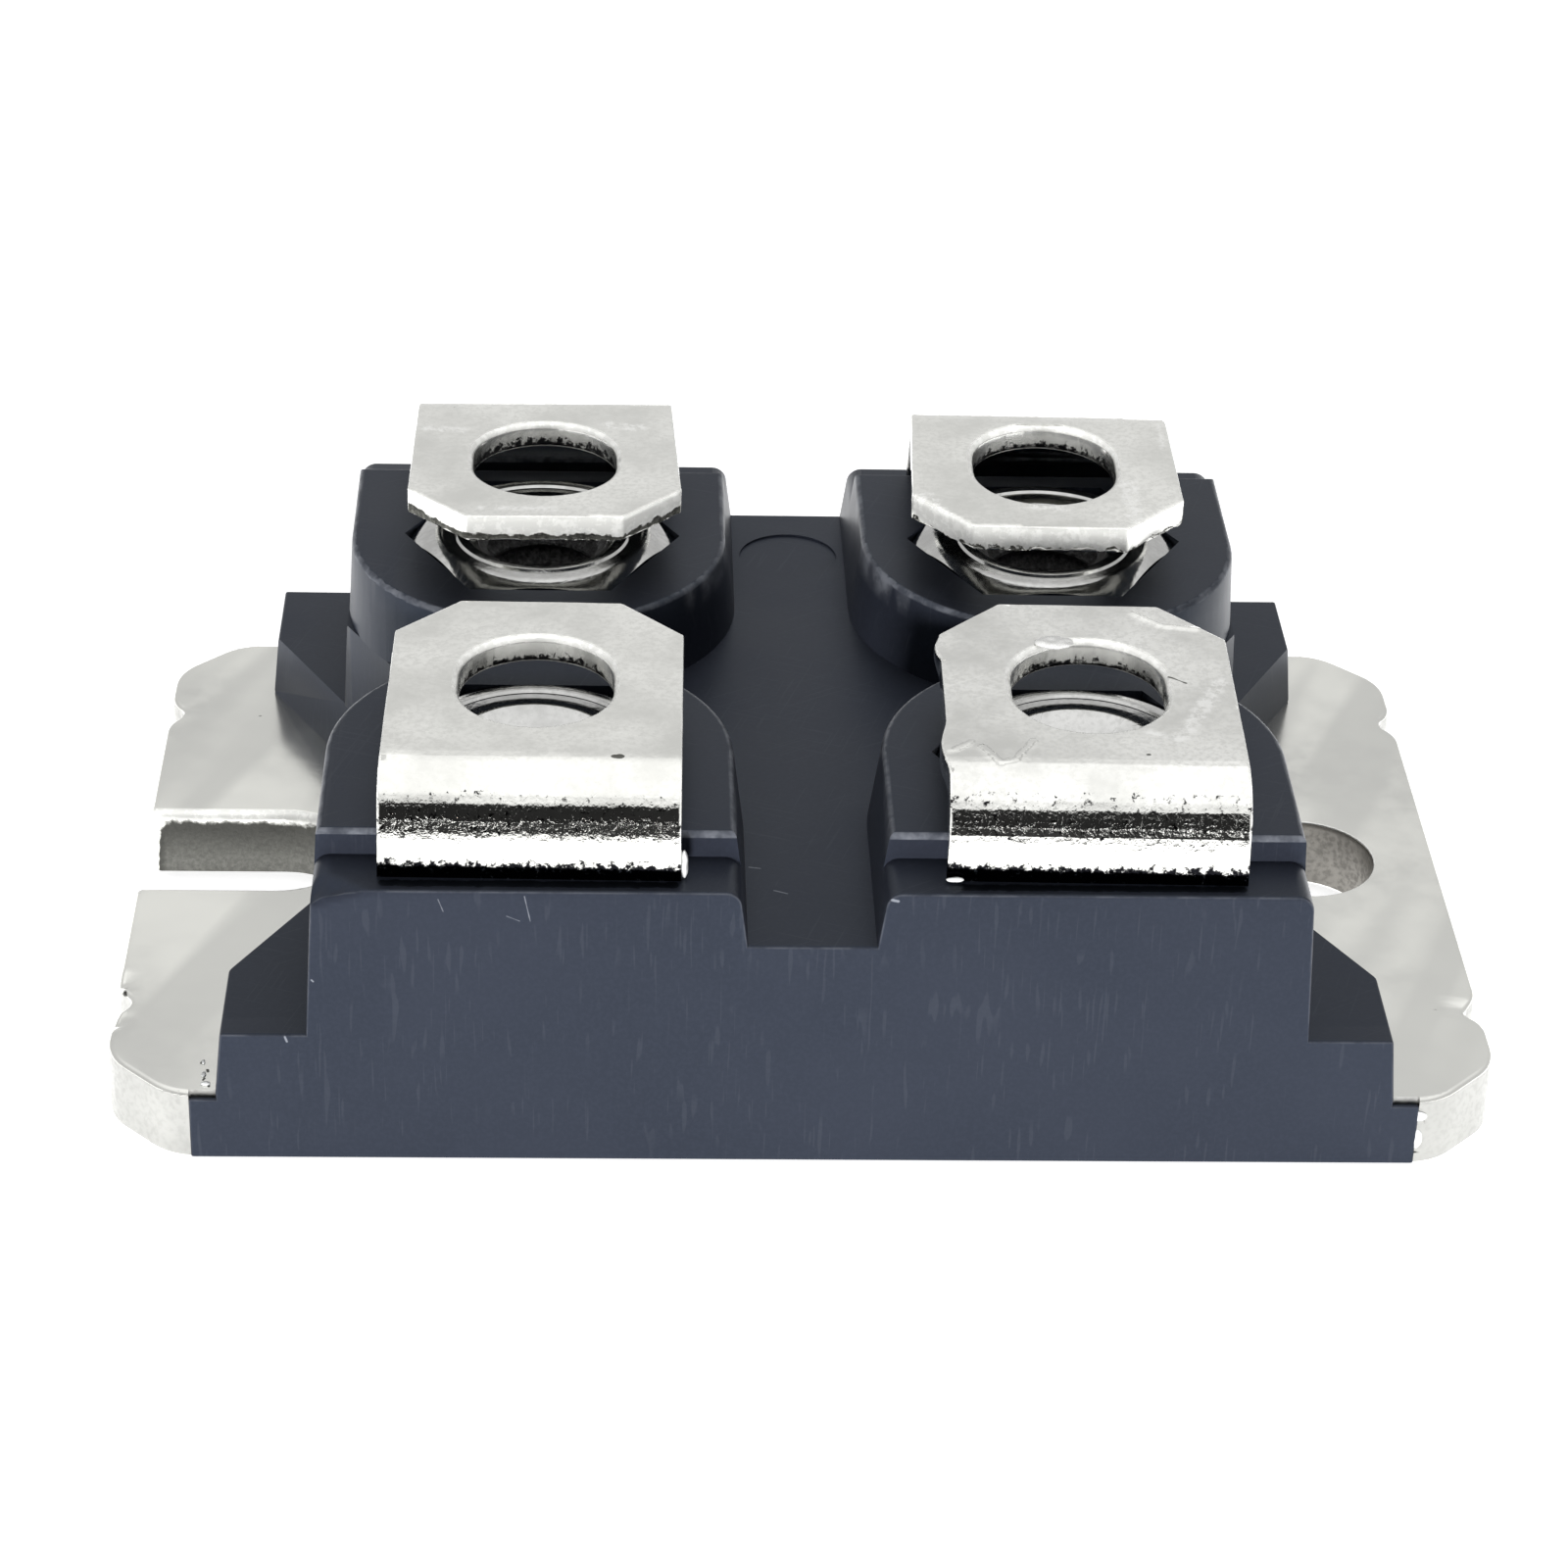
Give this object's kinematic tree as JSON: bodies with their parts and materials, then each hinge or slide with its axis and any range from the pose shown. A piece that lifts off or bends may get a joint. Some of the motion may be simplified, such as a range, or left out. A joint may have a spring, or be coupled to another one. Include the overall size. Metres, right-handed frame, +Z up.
{
  "type": "igbt module",
  "caption": "Insulated gate bipolar transistor module with a metal base, dark moulded body and bent screw terminals over captive nuts.",
  "frame": {"origin": "centre of the underside of the base plate", "axes": "+X along the base from the open slot to the round hole, +Z up towards the terminals, so -Y is the long side nearest in the picture"},
  "size_m": [0.0382, 0.0252, 0.0119],
  "materials": {
    "plated_copper": "satin nickel plating over copper",
    "plated_nut": "zinc plated steel, satin",
    "moulding": "dark blue-grey moulded plastic, fine texture",
    "bare_copper": "bare copper",
    "solder": "dull tin solder",
    "ceramic": "unglazed nitride ceramic",
    "silicon": "silicon with a metallised top",
    "wire": "bright aluminium wire",
    "gel": "soft clear silicone gel",
    "adhesive": "cured silicone adhesive"
  },
  "bodies": {
    "root": {"base_plate": "plated_copper", "housing": "moulding", "housing_adhesive": "adhesive", "sense_emitter_terminal": "plated_copper", "gate_terminal": "plated_copper", "main_emitter_terminal": "plated_copper", "collector_terminal": "plated_copper", "terminal_nuts": "plated_nut", "base_solder": "solder", "substrate_lower_copper": "bare_copper", "substrate_ceramic": "ceramic", "emitter_copper": "bare_copper", "collector_copper": "bare_copper", "gate_copper": "bare_copper", "sense_emitter_solder": "solder", "gate_solder": "solder", "main_emitter_solder": "solder", "collector_solder": "solder", "front_chip": "silicon", "rear_chip": "silicon", "front_chip_solder": "solder", "rear_chip_solder": "solder", "front_emitter_wires": "wire", "rear_emitter_wires": "wire", "front_gate_wire": "wire", "rear_gate_wire": "wire", "silicone_gel": "gel"}
  },
  "joints": []
}
